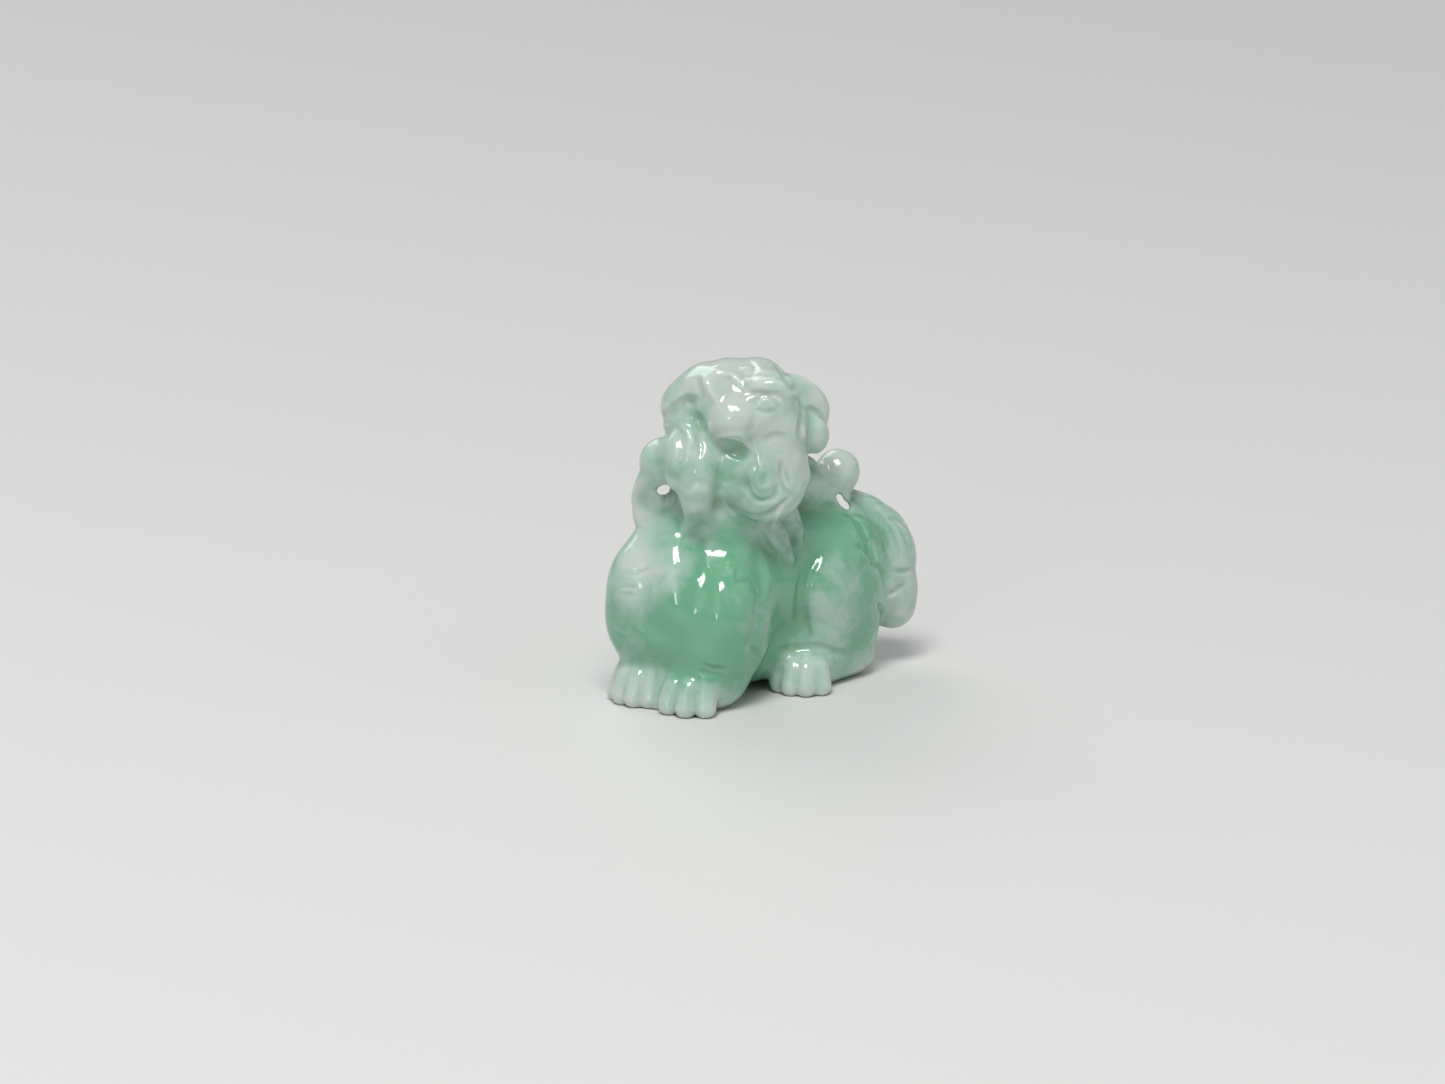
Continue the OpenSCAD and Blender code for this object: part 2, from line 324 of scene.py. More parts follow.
def tool_field(spots, radii, gap=np.inf):
    """The window round a tool that runs through the spots, and the distances to it.

    The tool is lifted wherever the spots jump by more than gap.
    """
    reach = radii.max() + EDGE
    first = np.maximum(np.floor((spots.min(0) - reach) / VOXEL).astype(int), low)
    last = np.minimum(np.ceil((spots.max(0) + reach) / VOXEL).astype(int), high)
    window = tuple(slice(a, b + 1) for a, b in zip(first - low, last - low))
    axes = [np.arange(a, b + 1) * VOXEL for a, b in zip(first, last)]
    grid = np.stack(np.meshgrid(*axes, indexing="ij"), -1).astype(np.float32)
    distance = np.full(grid.shape[:3], np.inf, np.float32)
    if len(spots) == 1:
        return window, np.linalg.norm(grid - spots[0], axis=-1) - radii[0]
    for a, b, ra, rb in zip(spots, spots[1:], radii, radii[1:]):
        run = b - a
        if run @ run > gap ** 2:
            continue
        t = np.clip(((grid - a) @ run) / max(run @ run, 1e-9), 0, 1)
        away = np.linalg.norm(grid - a - t[..., None] * run, axis=-1)
        np.minimum(distance, away - (ra + t * (rb - ra)), out=distance)
    return window, distance


def taper(along, ends):
    """Stroke profile: full in the middle, thinning to both ends over the given share of its length."""
    return np.clip(np.minimum(along, 1 - along) / max(ends, 1e-6), 0.0, 1.0) ** 0.5


def cut(window, tool, soft):
    """Take the tool's shape out of the stone, with the edge rounded over soft millimetres."""
    stone = STONE[window]
    mix = np.maximum(soft - np.abs(stone + tool), 0) / soft
    STONE[window] = np.maximum(stone, -tool) + mix ** 2 * soft / 4


def leave(window, tool, soft):
    """Leave the tool's shape standing on the stone, with the foot rounded over soft millimetres."""
    stone = STONE[window]
    mix = np.maximum(soft - np.abs(stone - tool), 0) / soft
    STONE[window] = np.minimum(stone, tool) - mix ** 2 * soft / 4


def groove(canvas, points, radius=0.4, depth=0.3, ends=0.3, soft=0.2):
    """Cut a groove of the given depth with a round burr."""
    path, along = curve(points)
    spots, normals = canvas.land(path)
    profile = taper(along, ends)[:, None]
    spots = spots + normals * (radius - depth * profile)
    window, tool = tool_field(spots, np.full(len(spots), radius), JUMP)
    cut(window, tool, soft)


def ridge(canvas, points, radius=0.5, height=0.3, ends=0.3, soft=0.3):
    """Leave a rounded ridge, lock or bead standing above the surface."""
    path, along = curve(points)
    spots, normals = canvas.land(path)
    profile = taper(along, ends) if len(path) > 1 else np.ones(1)
    tip = 0.35
    radii = radius * (tip + (1 - tip) * profile)
    spots = spots + normals * (height * profile - radii)[:, None]
    window, tool = tool_field(spots, radii, JUMP)
    leave(window, tool, soft)


def polish(canvas, middle, radius, sigma):
    """Rub a round patch of the stone smooth."""
    spot, _ = canvas.land([middle])
    window, away = tool_field(spot, np.full(1, radius))
    stone = STONE[window]
    share = np.clip(-2 * away / radius, 0, 1)
    STONE[window] = stone + share * (soften(stone, sigma) - stone)


def drill(canvas, points, radius, reach=32, soft=0.3):
    """Drill right through the stone, straight away from the viewer, at every place along the points."""
    path, _ = curve(points)
    starts = canvas.middle + path[:, :1] * canvas.right + path[:, 1:] * canvas.up
    for start in starts:
        ends = np.array([start + reach * canvas.back, start - reach * canvas.back])
        window, tool = tool_field(ends, np.full(2, radius))
        cut(window, tool, soft)


def make_piece(name, values, stone):
    """A closed Blender mesh of the field's surface, with the stone's attributes on its vertices."""
    points, quads = surface(values)
    mesh = bpy.data.meshes.new(name)
    mesh.vertices.add(len(points))
    mesh.vertices.foreach_set("co", (points * MM).astype(np.float32).ravel())
    mesh.loops.add(quads.size)
    mesh.loops.foreach_set("vertex_index", quads.astype(np.int32).ravel())
    mesh.polygons.add(len(quads))
    mesh.polygons.foreach_set("loop_start", np.arange(0, quads.size, 4, dtype=np.int32))
    mesh.polygons.foreach_set("use_smooth", np.ones(len(quads), bool))
    mesh.update(calc_edges=True)
    for label, field in stone.items():
        layer = mesh.attributes.new(label, "FLOAT", "POINT")
        layer.data.foreach_set("value", sample(field, points))
    piece = bpy.data.objects.new(name, mesh)
    bpy.context.scene.collection.objects.link(piece)
    return piece


# ---- materials -------------------------------------------------------------------------------------------

def linear(r, g, b):
    """An opaque linear colour from display values of 0 to 255."""
    return tuple(((value / 255 + 0.055) / 1.055) ** 2.4 for value in (r, g, b)) + (1,)


class Graph:
    """A material's nodes, with short ways to add the few kinds that are used here."""

    def __init__(self, material):
        self.tree = material.node_tree

    def node(self, kind, **settings):
        """A new node with the given settings."""
        made = self.tree.nodes.new(kind)
        for key, value in settings.items():
            setattr(made, key, value)
        return made

    def link(self, source, target):
        """Connect an output to an input."""
        self.tree.links.new(source, target)

    def attribute(self, label):
        """A value stored on the mesh."""
        return self.node("ShaderNodeAttribute", attribute_name=label).outputs["Fac"]

    def calc(self, operation, *values, clamp=False):
        """A sum, difference or product of numbers and outputs."""
        made = self.node("ShaderNodeMath", operation=operation, use_clamp=clamp)
        for socket, value in zip(made.inputs, values):
            if isinstance(value, (int, float)):
                socket.default_value = value
            else:
                self.link(value, socket)
        return made.outputs[0]

    def noise(self, scale, detail, distortion=0.0, offset=0.0):
        """Noise through the stone, from 0 to 1, with about scale cells to the metre."""
        place = self.node("ShaderNodeTexCoord").outputs["Object"]
        moved = self.node("ShaderNodeVectorMath", operation="ADD")
        self.link(place, moved.inputs[0])
        moved.inputs[1].default_value = (offset, offset, offset)
        made = self.node("ShaderNodeTexNoise")
        made.inputs["Scale"].default_value = scale
        made.inputs["Detail"].default_value = detail
        made.inputs["Distortion"].default_value = distortion
        self.link(moved.outputs[0], made.inputs["Vector"])
        return made.outputs["Fac"]


def stone_colour(graph):
    """Pale to apple green, with clouds and finer wisps, and painted shade: greener, duller and darker colour
    in the hollows and creases.
    """
    clouds = graph.calc("SUBTRACT", graph.noise(150, 2, 0.3), 0.5)
    wisps = graph.calc("SUBTRACT", graph.noise(500, 3, 0.6, 0.3), 0.5)
    drift = graph.calc("ADD", graph.calc("MULTIPLY", clouds, 1.1), graph.calc("MULTIPLY", wisps, 0.9))
    green = graph.calc("ADD", graph.attribute("green"), drift)
    # painted shade: hollows and creases are made greener and darker, bumps paler
    hollow_shade = graph.calc("MULTIPLY", graph.calc("SUBTRACT", graph.attribute("hollow"), 0.5), 0.8)
    green = graph.calc("ADD", green, hollow_shade, clamp=True)
    ramp = graph.node("ShaderNodeValToRGB")
    pale, apple = ramp.color_ramp.elements
    pale.position, pale.color = 0.05, linear(192, 203, 195)
    apple.position, apple.color = 0.95, linear(116, 174, 141)
    middle = ramp.color_ramp.elements.new(0.45)
    middle.color = linear(166, 194, 179)
    graph.link(green, ramp.inputs["Fac"])
    # painted shade: the deepest hollows and creases are mixed towards a duller, darker green
    shade_mix = graph.node("ShaderNodeMix", data_type="RGBA")
    deepest_shade = graph.calc(
        "MULTIPLY", graph.calc("SUBTRACT", graph.attribute("hollow"), 0.58), 4.0, clamp=True)
    graph.link(deepest_shade, shade_mix.inputs["Factor"])
    graph.link(ramp.outputs["Color"], shade_mix.inputs["A"])
    shade_mix.inputs["B"].default_value = linear(158, 182, 138)
    return shade_mix.outputs["Result"]


def scatter_light(graph, shader):
    """Light that wanders in the stone, and less so where the next piece is near, to hide the joins."""
    shader.subsurface_method = "RANDOM_WALK"
    shader.inputs["Subsurface Weight"].default_value = 1.0
    shader.inputs["Subsurface Radius"].default_value = (0.75, 1.0, 0.85)
    room = graph.calc("MULTIPLY", graph.attribute("core"), 1.25, clamp=True)
    graph.link(graph.calc("MULTIPLY", room, 1.2 * MM), shader.inputs["Subsurface Scale"])
    shader.inputs["IOR"].default_value = 1.66


def polish_finish(graph, shader):
    """A high polish that is never quite even."""
    graph.link(graph.calc("MULTIPLY_ADD", graph.noise(900, 2), 0.06, 0.06), shader.inputs["Roughness"])
    bump = graph.node("ShaderNodeBump")
    bump.inputs["Strength"].default_value = 0.25
    bump.inputs["Distance"].default_value = 0.02 * MM
    graph.link(graph.noise(700, 2), bump.inputs["Height"])
    graph.link(bump.outputs["Normal"], shader.inputs["Normal"])


def jade_material():
    """The one stone that every piece is cut from."""
    material = bpy.data.materials.new("jadeite")
    material.use_nodes = True
    graph = Graph(material)
    shader = material.node_tree.nodes["Principled BSDF"]
    graph.link(stone_colour(graph), shader.inputs["Base Color"])
    scatter_light(graph, shader)
    polish_finish(graph, shader)
    return material


def floor_material():
    """Plain, pale and almost dull."""
    material = bpy.data.materials.new("pale_floor")
    material.use_nodes = True
    shader = material.node_tree.nodes["Principled BSDF"]
    shader.inputs["Base Color"].default_value = linear(214, 214, 212)
    shader.inputs["Roughness"].default_value = 0.55
    return material


# ---- studio ----------------------------------------------------------------------------------------------

def softbox(name, target, azimuth, elevation, distance, size, power, roll=0):
    """A rectangular area light that faces the target, turned about its own axis by roll degrees."""
    light = bpy.data.lights.new(name, "AREA")
    light.shape = "RECTANGLE"
    light.size, light.size_y = size
    light.energy = power
    lamp = bpy.data.objects.new(name, light)
    bpy.context.scene.collection.objects.link(lamp)
    back = Vector(direction(azimuth, elevation))
    lamp.location = target + back * distance
    turned = back.to_track_quat("Z", "Y") @ Quaternion((0, 0, 1), math.radians(roll))
    lamp.rotation_euler = turned.to_euler()


def build_studio(middle):
    """A pale floor, a soft sky and six soft lamps that face the figurine's middle."""
    floor_mesh = bpy.data.meshes.new("floor")
    reach = 1.5
    floor_mesh.from_pydata([(-reach, -reach, 0), (reach, -reach, 0), (reach, reach, 0), (-reach, reach, 0)],
                           [], [(0, 1, 2, 3)])
    floor = bpy.data.objects.new("floor", floor_mesh)
    floor.data.materials.append(floor_material())
    bpy.context.scene.collection.objects.link(floor)
    world = bpy.data.worlds.new("studio")
    world.use_nodes = True
    world.node_tree.nodes["Background"].inputs["Color"].default_value = linear(232, 234, 236)
    world.node_tree.nodes["Background"].inputs["Strength"].default_value = 0.36
    bpy.context.scene.world = world
    # azimuth, elevation, distance, size and power
    softbox("key", middle, VIEW_AZIMUTH - 16, 60, 1.2, (0.26, 0.44), 6.8, roll=25)
    softbox("second_key", middle, VIEW_AZIMUTH + 9, 62, 1.2, (0.17, 0.4), 3.6, roll=25)
    softbox("low", middle, VIEW_AZIMUTH - 22, 10, 1.2, (0.14, 0.22), 0.6, roll=10)
    softbox("front", middle, VIEW_AZIMUTH - 24, 28, 1.5, (0.9, 0.9), 1.5)
    softbox("fill", middle, VIEW_AZIMUTH + 70, 25, 1.5, (1.2, 1.2), 1.7)
    softbox("rim", middle, VIEW_AZIMUTH - 150, 40, 1.5, (1.0, 0.8), 5.2)


def build_camera():
    """A long lens that looks down a little on the figurine's front left, as in the photograph."""
    height = cad_high.z - cad_low.z
    back = Vector(direction(VIEW_AZIMUTH, VIEW_ELEVATION))
    # aim and distance are in figurine heights
    target = Vector((-0.048, -0.142, 0.4375)) * height
    distance = 19.83 * height
    camera = bpy.data.cameras.new("camera")
    camera.lens = 172.4
    camera.sensor_width = 36
    camera.clip_start, camera.clip_end = 0.01, 10
    seat = bpy.data.objects.new("camera", camera)
    bpy.context.scene.collection.objects.link(seat)
    seat.location = target + back * distance
    seat.rotation_euler = back.to_track_quat("Z", "Y").to_euler()
    bpy.context.scene.camera = seat


# ---- carving ---------------------------------------------------------------------------------------------
# a stroke is a few points on a sheet, then the tool's radius, and its depth or height, all in millimetres

def rough_out_face(face):
    """Fill the fold under the cheek and the chin, hollow the forehead a little and rub it all smooth."""
    ridge(face, [(1.8, -2.8), (3.4, -3.1), (5.2, -3.0)], 1.7, 0.9, soft=1.6)
    ridge(face, [(1.4, 2.4), (1.6, 0.6)], 1.8, 0.3, soft=1.6)
    ridge(face, [(-2.0, -2.6), (-0.6, -3.0), (0.8, -3.4)], 1.4, 0.6, soft=1.4)
    groove(face, [(-2.6, 7.2), (-1.9, 6.0), (-1.3, 5.0)], 1.6, 0.3, soft=1.0)
    polish(face, (-1.4, 3.0), 6.5, 1.1)
    polish(face, (-1.2, -0.6), 4.0, 0.9)
    polish(face, (3.6, -2.4), 5.0, 1.2)
    polish(face, (6.0, 2.0), 3.0, 0.7)
    polish(face, (-5.6, 2.0), 4.0, 0.8)


def carve_far_brow(face):
    """Far brow and the bridge of the nose."""
    groove(face, [(-9.8, 2.8), (-8.4, 3.0), (-6.8, 4.2), (-5.2, 4.6)], 0.6, 0.45)
    groove(face, [(-8, 3.0), (-6.4, 3.0), (-5.4, 2.2)], 0.9, 0.25, soft=0.5)
    ridge(face, [(-4.6, 7.2), (-4.1, 6.0), (-3.5, 5.0), (-3.0, 4.2)], 0.5, 0.3)
    groove(face, [(-5.4, 6.8), (-5.0, 5.6), (-4.6, 4.6)], 0.6, 0.2)
    ridge(face, [(-3.2, 7.8), (-2.0, 7.4), (-0.9, 6.9), (-0.4, 6.0)], 0.45, 0.24)


def carve_forehead(face):
    """Bead in its ring, and the near brow below it."""
    groove(face, [(-0.7, 8.0), (-0.3, 7.3), (0.5, 7.1), (1.2, 7.5), (1.3, 8.2), (0.8, 8.8)], 0.3, 0.12)
    ridge(face, [(0.3, 8.0)], 0.6, 0.3)
    ridge(face, [(0.9, 5.9), (2.4, 6.1), (3.8, 6.2), (4.6, 5.8)], 0.9, 0.35)
    groove(face, [(0.6, 5.0), (1.6, 5.2), (2.8, 5.1), (4.2, 4.9), (5.0, 4.2)], 0.35, 0.25)
    groove(face, [(0.4, 7.0), (1.8, 7.2), (3.4, 7.2), (4.6, 6.6)], 0.4, 0.2)


def carve_eyes(face):
    """An almond ring round the near eye's low eyeball, and the far eye in its hollow."""
    groove(face, [(0.9, 3.7), (1.5, 4.5), (2.6, 4.8), (3.6, 4.2), (4.0, 3.5)], 0.3, 0.22)
    groove(face, [(0.9, 3.7), (1.8, 3.2), (2.8, 3.0), (4.0, 3.5)], 0.3, 0.18)
    groove(face, [(-7.3, 3.8), (-6.5, 4.1), (-5.7, 3.7)], 0.9, 0.35, soft=0.4)
    ridge(face, [(-6.4, 3.6)], 0.6, 0.15)


def carve_nose(face):
    """The nose and its nostrils."""
    groove(face, [(0.7, 3.6), (1.0, 2.4), (0.8, 1.2)], 0.6, 0.16, soft=0.5)
    ridge(face, [(-1.4, 1.3)], 2.2, 0.5, soft=1.4)
    groove(face, [(-5.3, 2.4), (-4.9, 1.4), (-4.5, 0.6)], 0.6, 0.3, 0.5, soft=0.4)
    ridge(face, [(-3.9, 2.0), (-3.8, 1.2), (-3.9, 0.4)], 0.35, 0.25)


def carve_mouth(face):
    """The open mouth and its upper lip."""
    groove(face, [(-2.9, -0.6), (-1.4, -0.8), (-0.3, -1.5), (0.8, -2.1)], 0.9, 0.45, 0.4, soft=0.4)
    groove(face, [(-2.4, -1.5), (-1.2, -1.9), (0.1, -2.4)], 0.7, 0.3, 0.4)
    ridge(face, [(-3.2, 0.1), (-1.6, 0.35), (-0.2, 0.3), (0.3, -0.6), (1.0, -1.5)], 0.35, 0.2)


def carve_cheek(face):
    """The fold before the ear, with its tufts, and the lines of the cheek and the ear."""
    groove(face, [(4.0, 8.2), (4.8, 7.0), (5.6, 5.9), (6.6, 4.6), (6.8, 3.0), (6.6, 0.8), (6.7, -1.6)],
           0.6, 0.3, soft=0.5)
    ridge(face, [(4.7, 7.0), (5.3, 6.7), (5.8, 6.2)], 0.3, 0.25)
    ridge(face, [(5.4, 5.0), (6.0, 5.2), (6.4, 5.0)], 0.3, 0.25)
    groove(face, [(2.6, -0.2), (3.6, 0.2), (4.8, 0.2)], 0.5, 0.12, soft=0.3)
    groove(face, [(4.4, -3.0), (5.0, -4.0), (5.2, -5.2)], 0.4, 0.18, soft=0.3)
    groove(face, [(6.9, 3.4), (8.0, 3.3), (9.1, 2.7), (9.8, 1.4)], 0.35, 0.35)
    groove(face, [(6.6, -1.8), (7.8, -2.0), (9.0, -1.6)], 0.45, 0.4)


def carve_face(face):
    """The whole face, from the rough shape to the finest lines."""
    rough_out_face(face)
    carve_far_brow(face)
    carve_forehead(face)
    carve_eyes(face)
    carve_nose(face)
    carve_mouth(face)
    carve_cheek(face)


def carve_beard(face):
    """The curled beard, with the lower lock that sweeps under it."""
    # web of stone between the ear lobe and the beard
    ridge(face, [(6.6, -2.2)], 1.6, 0.5, soft=1.0)
    polish(face, (7.0, -2.2), 2.4, 0.6)
    # the curl and the locks round it
    groove(face, [(1.2, -2.8), (0.4, -4.0), (0.5, -5.8), (1.6, -7.1), (3.2, -7.0), (3.9, -5.4), (3.4, -3.6)],
           0.35, 0.3)
    ridge(face, [(2.2, -3.4), (1.6, -4.6), (2.0, -5.8), (2.9, -5.4), (2.9, -4.4)], 0.45, 0.2)
    groove(face, [(4.4, -2.6), (4.3, -4.2), (4.6, -5.8), (5.4, -6.6)], 0.35, 0.3)
    groove(face, [(-1.8, -7.2), (-0.6, -8.3), (1.2, -9.0), (3.0, -8.6), (4.6, -7.4), (5.9, -6.4)], 0.35, 0.3)
    ridge(face, [(-2.4, -7.2), (-1.2, -8.7), (0.6, -9.6), (2.4, -9.6), (4.0, -8.6)], 0.45, 0.25)


def carve_lingzhi(face):
    """The lobed sprig in the mouth and the ribbon beside it."""
    ridge(face, [(-9.0, -0.8), (-8.0, -1.8), (-7.4, -3.2)], 2.0, 0.5, soft=1.4)
    ridge(face, [(-5.3, -4.6), (-5.2, -6.2)], 2.0, 0.5, soft=1.0)
    ridge(face, [(-4.2, -1.6), (-4.2, -4.2), (-4.6, -6.4)], 1.4, 0.5, soft=1.0)
    ridge(face, [(-5.4, -6.6), (-5.8, -8.4)], 1.5, 0.5, soft=1.0)
    ridge(face, [(-5.9, -8.6), (-6.4, -10.6)], 0.9, 0.5, soft=0.8)
    polish(face, (-5.6, -8.6), 3.6, 0.8)
    ridge(face, [(-9.6, 1.6), (-9.0, 1.3), (-8.4, 1.5)], 0.35, 0.2)
    ridge(face, [(-7.4, 1.6), (-6.6, 0.8), (-6.2, 0.0), (-5.8, -1.0)], 0.45, 0.35)
    groove(face, [(-5.4, 0.2), (-5.0, -1.2), (-5.2, -2.4)], 0.35, 0.25)
    groove(face, [(-7.4, 0.2), (-7.1, -1.4), (-7.4, -3.0)], 0.6, 0.18, soft=0.4)
    groove(face, [(-6.8, -5.6), (-5.6, -5.1), (-4.2, -5.3), (-3.3, -5.9)], 0.5, 0.14, soft=0.4)
    # web that leaves only a small opening beside the ribbon
    for bead in ((-8.3, -5.2), (-8.3, -6.2), (-8.6, -7.2), (-9.6, -7.6)):
        ridge(face, [bead], 0.9, 0.5, soft=0.6)


# strokes that both flanks have
ELBOW_VALLEY = [(1.7, 4.4), (2.0, 1.6), (1.8, -1.2), (1.3, -4.0)]
HAUNCH_CREASE = [(8.6, 5.0), (7.4, 3.0), (6.8, 0.4), (6.9, -2.4), (7.6, -4.6)]
ANKLE_CREASE = [(4.2, -6.2), (6.4, -5.9), (8.8, -5.8), (11.0, -6.3), (12.4, -6.8)]


def carve_ankle(flank):
    """Three short cuts fanned over the hind foot."""
    for step in (0, 0.55, 1.1):
        groove(flank, [(7.8 + step, -6.4), (8.5 + step, -6.9), (9.2 + step, -7.8)], 0.25, 0.16)


def rough_out_body(flank):
    """Valleys between far shoulder, chest and near shoulder, then the bulges, rubbed smooth."""
    groove(flank, [(-10.6, 8.6), (-10.8, 5.0), (-10.6, 1.0), (-10.0, -3.0)], 3.0, 0.35, soft=1.2)
    groove(flank, [(-5.0, 8.0), (-4.9, 4.0), (-4.7, 0.0), (-4.8, -4.0)], 2.4, 0.6, soft=1.2)
    ridge(flank, [(-12.8, 3.8), (-13.0, 1.0)], 3.4, 0.6, soft=1.8)
    ridge(flank, [(-7.8, 4.8), (-7.4, 1.6), (-7.2, -1.6)], 3.4, 0.5, soft=1.8)
    ridge(flank, [(-2.2, 1.6), (-2.0, -0.6), (-2.0, -3.0)], 3.8, 0.5, soft=1.8)
    ridge(flank, [(9.4, 2.4), (9.8, 0.2)], 3.0, 0.5, soft=1.8)
    for middle in ((-12.8, 2.4), (-7.6, 2.6), (-1.0, 5.6), (0.2, 2.8), (1.6, -1.0), (9.0, 2.0)):
        polish(flank, middle, 5.0, 0.8)


def carve_forelegs(flank):
    """Short cuts on the far shoulder, then the near elbow and wrist."""
    groove(flank, [(-13.4, 3.0), (-12.4, 3.1), (-11.3, 3.6)], 0.3, 0.22)
    groove(flank, [(-14.2, 1.5), (-12.7, 1.45)], 0.3, 0.2)
    groove(flank, [(-14.2, 0.6), (-12.7, 0.55)], 0.3, 0.2)
    groove(flank, ELBOW_VALLEY, 1.6, 0.2, soft=0.8)
    groove(flank, [(0.8, -5.4), (1.4, -6.2), (2.0, -7.0)], 0.35, 0.3)
    groove(flank, [(-5.0, -8.4), (-4.0, -8.6), (-2.6, -9.0)], 0.35, 0.25)
    groove(flank, [(-4.6, -7.6), (-3.6, -8.1), (-2.2, -8.0)], 0.35, 0.25)


def carve_haunch(flank):
    """The near haunch and hind foot, and where the haunch meets the tail."""
    groove(flank, HAUNCH_CREASE, 0.9, 0.45, soft=0.4)
    groove(flank, ANKLE_CREASE, 0.5, 0.25, soft=0.4)
    carve_ankle(flank)
    groove(flank, [(12.5, 10.2), (13.8, 8.2), (15.0, 5.6), (15.5, 3.6)], 0.5, 0.5)
    groove(flank, [(16.0, -0.6), (16.6, -1.6), (16.2, -3.0)], 0.5, 0.5)


# greener and paler patches: middle on the sheet, radius, how much greener. Most are the stone's own colour;
# those in the far eye hollow, the open mouth, under the jaw, on the web by the pearl, under the sprig and
# round the mane locks are painted shade, greener and darker where shade falls
HEAD_PATCHES = [
    ((-5.4, 2.8), 1.6, 0.5), ((-1.2, -1.2), 1.8, 0.2), ((-2.0, -5.0), 2.2, 0.35), ((7.8, -3.8), 1.4, 0.8),
    ((2.0, -5.6), 2.6, 0.25), ((-1.0, 2.2), 2.6, -0.3), ((4.0, 1.0), 3.0, -0.25)]
BODY_PATCHES = [
    ((-12.6, 4.6), 4.2, -0.8), ((-13.0, -1.0), 2.6, -0.3), ((-6.8, -5.2), 4.4, 0.7),
    ((-4.6, 1.6), 2.2, 0.25), ((-1.0, 7.6), 2.6, 0.4), ((5.2, 1.0), 2.8, 0.35),
    ((9.6, 8.6), 3.0, 0.4), ((10.6, -2.0), 3.4, -0.5), ((13.0, 2.4), 2.4, -0.3),
    ((-8.2, 2.6), 2.6, -0.45), ((4.4, 7.0), 2.6, 0.1), ((-5.0, 9.4), 2.6, 0.15)]


def tint(green, canvas, patches):
    """Add each patch to the block's greenness as a cloud round the place where it lands."""
    for middle, radius, amount in patches:
        spot, _ = canvas.land([middle])
        reach = 2.2 * radius
        window, beyond = tool_field(spot, np.full(1, reach))
        green[window] += amount * np.exp(-((beyond + reach) / radius) ** 2)


def carve_far_side(flank):
    """The right flank, drawn as seen from the beast's front right, with right and left swapped."""
    groove(flank, HAUNCH_CREASE, 0.9, 0.5)
    groove(flank, ANKLE_CREASE, 0.5, 0.4)
    groove(flank, ELBOW_VALLEY, 1.6, 0.3)
    ridge(flank, [(2.6, 8.4), (3.6, 7.0), (4.6, 5.4), (5.8, 4.1)], 0.6, 0.25)
    ridge(flank, [(5.0, 8.4), (5.2, 7.0), (5.4, 5.6), (5.8, 4.2)], 0.6, 0.3)
    carve_ankle(flank)


def carve_nape(nape):
    """Hair grooves down the locks on the back of the neck, drawn as seen from behind."""
    for across in (-3.6, 0.0, 3.6):
        polish(nape, (across, 4.0), 4.0, 1.0)
    for across in (-4.4, -3.4, -2.2, -0.6, 0.6, 2.2, 3.4, 4.4):
        groove(nape, [(across * 0.9, 5.5), (across, 1.0), (across, -2.5), (across * 0.9, -6.5)], 0.3, 0.2)


def carve_rump(rear):
    """Hair grooves down the back of the tail, drawn as seen from behind."""
    groove(rear, [(-2.6, 1.0), (-2.8, -4.0), (-3.4, -9.0), (-4.2, -14.0)], 0.35, 0.25)
    groove(rear, [(-4.2, 2.0), (-4.6, -3.0), (-5.0, -8.0), (-5.2, -14.0)], 0.35, 0.25)
    groove(rear, [(-6.0, 0.5), (-6.6, -4.0), (-6.8, -9.0), (-6.4, -13.0)], 0.35, 0.25)


def carve_mane(flank):
    """Flame-shaped locks that run down to a point on the shoulder."""
    ridge(flank, [(4.4, 10.4), (3.6, 9.2), (3.2, 8.0)], 0.4, 0.3)
    ridge(flank, [(2.4, 8.4), (3.4, 7.0), (4.6, 5.4), (5.8, 4.1)], 0.7, 0.45)
    ridge(flank, [(4.6, 8.6), (4.9, 7.0), (5.3, 5.6), (5.8, 4.2)], 0.7, 0.5)
    ridge(flank, [(6.6, 8.8), (6.5, 7.0), (6.0, 5.6)], 0.6, 0.4)


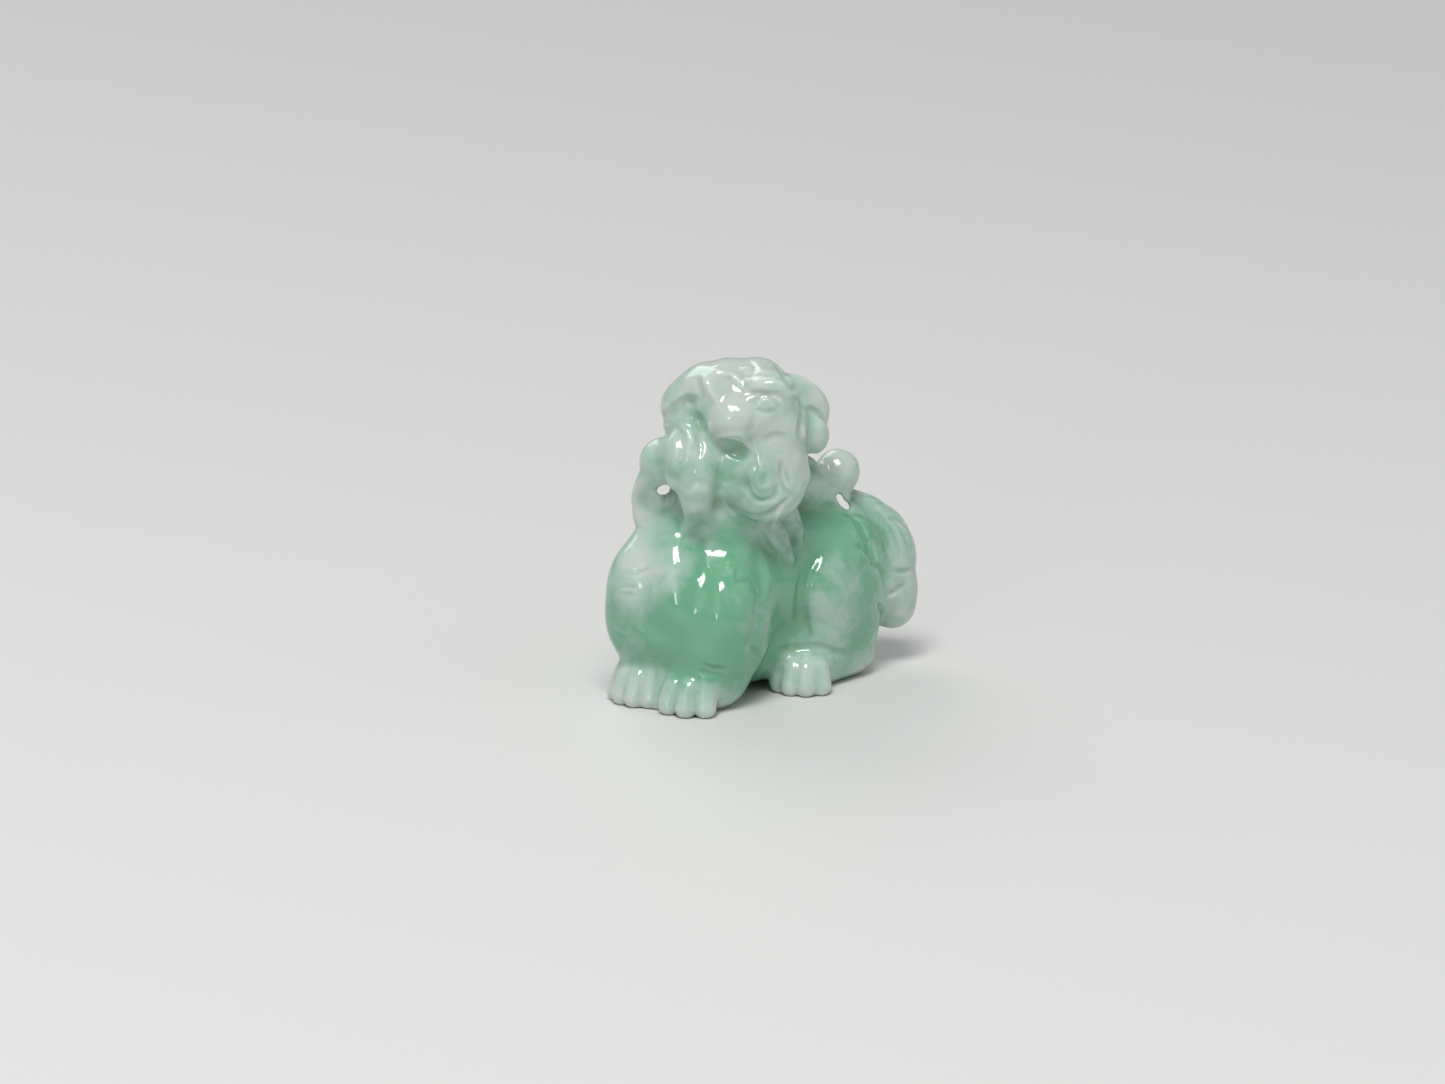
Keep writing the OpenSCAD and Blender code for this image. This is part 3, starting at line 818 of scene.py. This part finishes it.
def carve_tail(flank):
    """Hair grooves in the curled tail."""
    groove(flank, [(20.2, 3.5), (18.8, 3.1), (17.6, 3.4)], 0.35, 0.3)
    groove(flank, [(17.0, 0.4), (18.0, 0.8), (19.2, 1.6)], 0.4, 0.3)
    groove(flank, [(14.0, 11.4), (15.0, 9.4), (16.4, 7.4), (17.0, 5.4)], 0.35, 0.22)
    groove(flank, [(15.6, 10.6), (17.0, 8.8), (18.2, 6.8), (18.4, 4.6)], 0.35, 0.22)
    groove(flank, [(17.4, 9.8), (18.8, 8.0), (19.6, 6.0)], 0.35, 0.2)
    groove(flank, [(15.2, 6.6), (15.4, 4.8), (16.0, 3.8)], 0.4, 0.3)


# ---- build -----------------------------------------------------------------------------------------------

fields, green = model_masses()
STONE = blend([((slice(None),) * 3, field) for field in fields.values()], JOIN)
skull_low, skull_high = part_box("skull")
skull_top = np.array([(skull_low.x + skull_high.x) / 2, (skull_low.y + skull_high.y) / 2, skull_high.z]) / MM
face = Canvas(skull_top + FACE_MIDDLE, VIEW_AZIMUTH, VIEW_ELEVATION)
flank = face.moved(0, -FLANK_DROP)
carve_face(face)
carve_beard(face)
carve_lingzhi(face)
rough_out_body(flank)
carve_forelegs(flank)
carve_haunch(flank)
carve_mane(flank)
carve_tail(flank)
# the openings beside the ribbon and beside the tail
drill(face, [(-9.7, -6.1), (-9.1, -5.9)], 0.42)
drill(flank, [(11.3, 12.0), (11.7, 11.3), (12.3, 10.8)], 0.36)
far_flank = Canvas(flank.middle * [-1, 1, 1], -VIEW_AZIMUTH, VIEW_ELEVATION, mirror=-1)
carve_far_side(far_flank)
carve_nape(Canvas(skull_top + NAPE_MIDDLE, 180, 10))
carve_rump(Canvas(np.array((cad_low + cad_high) / 2) / MM, 180, 10))
# the patches add the stone's own colour, and painted shade in the far eye hollow, the mouth, the web by the
# pearl and under the sprig and mane
tint(green, face, HEAD_PATCHES)
tint(green, flank, BODY_PATCHES)
# the ground cuts every sole flat
heights = np.arange(low[2], high[2] + 1) * VOXEL
np.maximum(STONE, (-heights).astype(np.float32), out=STONE)
inside = (STONE < 0).astype(np.float32)
# hollow says how deep a place lies in a hollow; the stone colour uses it to paint shade into hollows and
# creases
stone = {"green": green, "hollow": soften(inside, SHADE_HOLLOW_REACH)}
jade = jade_material()
beyond = share_out(fields)
for name, (_, _, _, nodes) in PIECES.items():
    piece = make_piece(name, cut_piece(beyond[name]), {**stone, "core": -beyond[name]})
    piece.data.materials.append(jade)
    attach(piece, "root")
    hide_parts(*nodes)
build_studio((cad_low + cad_high) / 2)
build_camera()
bpy.context.scene.view_settings.view_transform = "Standard"
